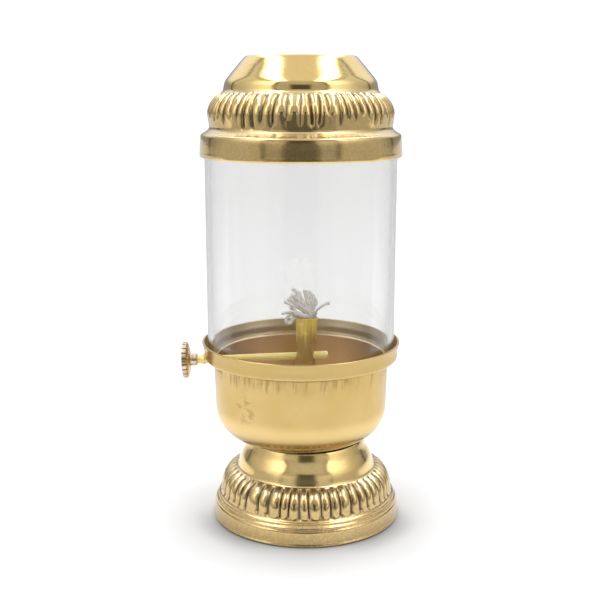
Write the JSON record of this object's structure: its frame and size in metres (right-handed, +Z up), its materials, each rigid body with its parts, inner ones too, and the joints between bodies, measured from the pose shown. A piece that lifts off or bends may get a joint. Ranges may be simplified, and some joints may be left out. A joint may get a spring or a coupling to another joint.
{
  "type": "akhand diya oil lamp",
  "caption": "Brass oil lamp on a fluted foot, with a wick raised by a side knob, a clear glass chimney that lifts off and a vented fluted cap.",
  "frame": {"origin": "centre of the foot, on the surface that the lamp stands on", "axes": "+Z up along the foot's axis, the knob on the -X side, -Y towards the viewer of the picture"},
  "size_m": [0.1062, 0.0954, 0.2215],
  "materials": {
    "polished_brass": "polished sheet with chased flutes, slightly darker in the grooves",
    "satin_brass": "satin sheet with faint streaks and specks of tarnish",
    "tube_brass": "drawn tube, worn golden at the mouth and browner below",
    "rod_brass": "bright drawn rod",
    "knob_brass": "turned, pinkish, with dark notches",
    "screw_steel": "plated steel",
    "seal_rubber": "oil-proof rubber",
    "cotton": "twisted cotton strands, unburnt",
    "clear_glass": "clear drawn tube with fire-polished ends"
  },
  "bodies": {
    "lamp_body": {"foot": "polished_brass", "oil_bowl": "satin_brass", "centre_screw": "screw_steel", "base_washer": "screw_steel", "sealing_washer": "seal_rubber", "tube_foot": "tube_brass", "wick_tube": "tube_brass", "spindle_bush": "rod_brass"},
    "wick_drive": {"spindle": "rod_brass", "wick_wheel": "rod_brass", "knob": "knob_brass"},
    "wick": {"wick": "cotton"},
    "chimney": {"glass_chimney": "clear_glass"},
    "cap": {"cap": "polished_brass"}
  },
  "joints": [
    {"name": "knob_turn", "type": "hinge", "parent": "lamp_body", "child": "wick_drive", "pos_m": [0, -0.0014, 0.0799], "axis": [0.9991, 0, 0.0419], "range_deg": [0, 180]},
    {"name": "wick_raise", "type": "slide", "parent": "lamp_body", "child": "wick", "axis": [0, 0, 1], "range_m": [0, 0.0098]},
    {"name": "glass_lift", "type": "slide", "parent": "lamp_body", "child": "chimney", "axis": [0, 0, 1], "range_m": [0, 0.12]},
    {"name": "cap_lift", "type": "slide", "parent": "chimney", "child": "cap", "axis": [0, 0, 1], "range_m": [0, 0.06]}
  ],
  "couplings": [
    {"joint": "wick_raise", "follows": "knob_turn", "m_per_rad": 0.0031}
  ]
}
